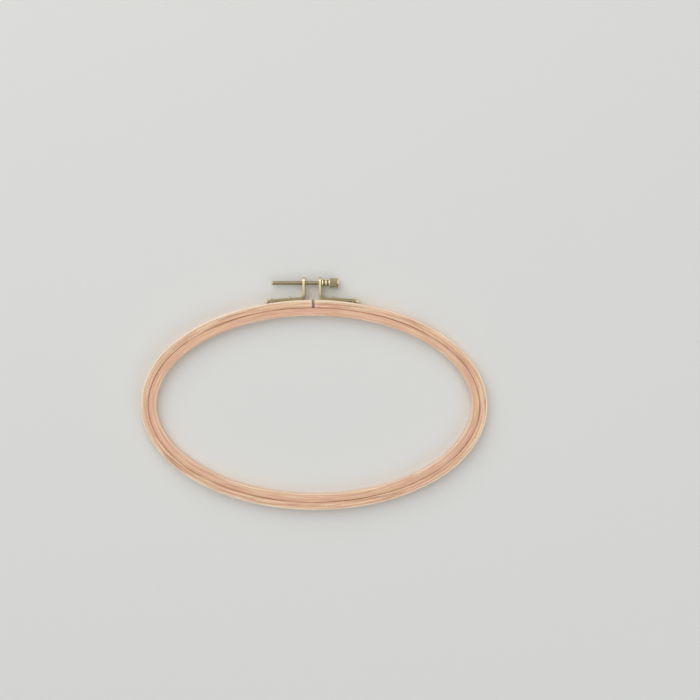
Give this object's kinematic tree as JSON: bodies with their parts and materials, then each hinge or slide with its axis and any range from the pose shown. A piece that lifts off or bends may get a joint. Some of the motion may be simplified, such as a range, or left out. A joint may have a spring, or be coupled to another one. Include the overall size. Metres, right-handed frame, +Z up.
{
  "type": "oval embroidery hoop",
  "caption": "Oval embroidery hoop: a closed wooden inner ring inside a split wooden outer ring, drawn tight by a brass screw with a turned knob between two bent strip brackets.",
  "frame": {"origin": "on the underside, in the middle of the whole outline, so the ring's own centre is at y = -7.8 mm", "axes": "+X along the hoop's long side, +Y towards the clamp, +Z up through the rings"},
  "size_m": [0.2402, 0.1618, 0.008],
  "materials": {
    "beech": "smooth sanded bent beech, unvarnished",
    "brass": "brass-plated bent strip and rivets, bright",
    "turned_brass": "turned brass with a knurled barrel and a rolled thread"
  },
  "bodies": {
    "fixed_end": {"outer_ring": "beech", "left_bracket": "brass", "left_rivet_near": "brass", "left_rivet_far": "brass"},
    "moving_end": {"right_bracket": "brass", "right_rivet_near": "brass", "right_rivet_far": "brass", "washer": "turned_brass"},
    "screw": {"clamp_screw": "turned_brass", "thumb_knob": "turned_brass"},
    "inner": {"inner_ring": "beech"}
  },
  "joints": [
    {"name": "split_open", "type": "slide", "parent": "fixed_end", "child": "moving_end", "axis": [1, 0, 0], "range_m": [0, 0.006], "deforming": ["outer_ring"]},
    {"name": "screw_turn", "type": "hinge", "parent": "moving_end", "child": "screw", "pos_m": [0, 0.0768, 0.004], "axis": [1, 0, 0], "range_deg": [0, 4320]},
    {"name": "inner_lift", "type": "slide", "parent": "fixed_end", "child": "inner", "axis": [0, 0, 1], "range_m": [0, 0.02]}
  ],
  "couplings": [
    {"joint": "screw_turn", "follows": "split_open", "rad_per_m": 12566}
  ]
}
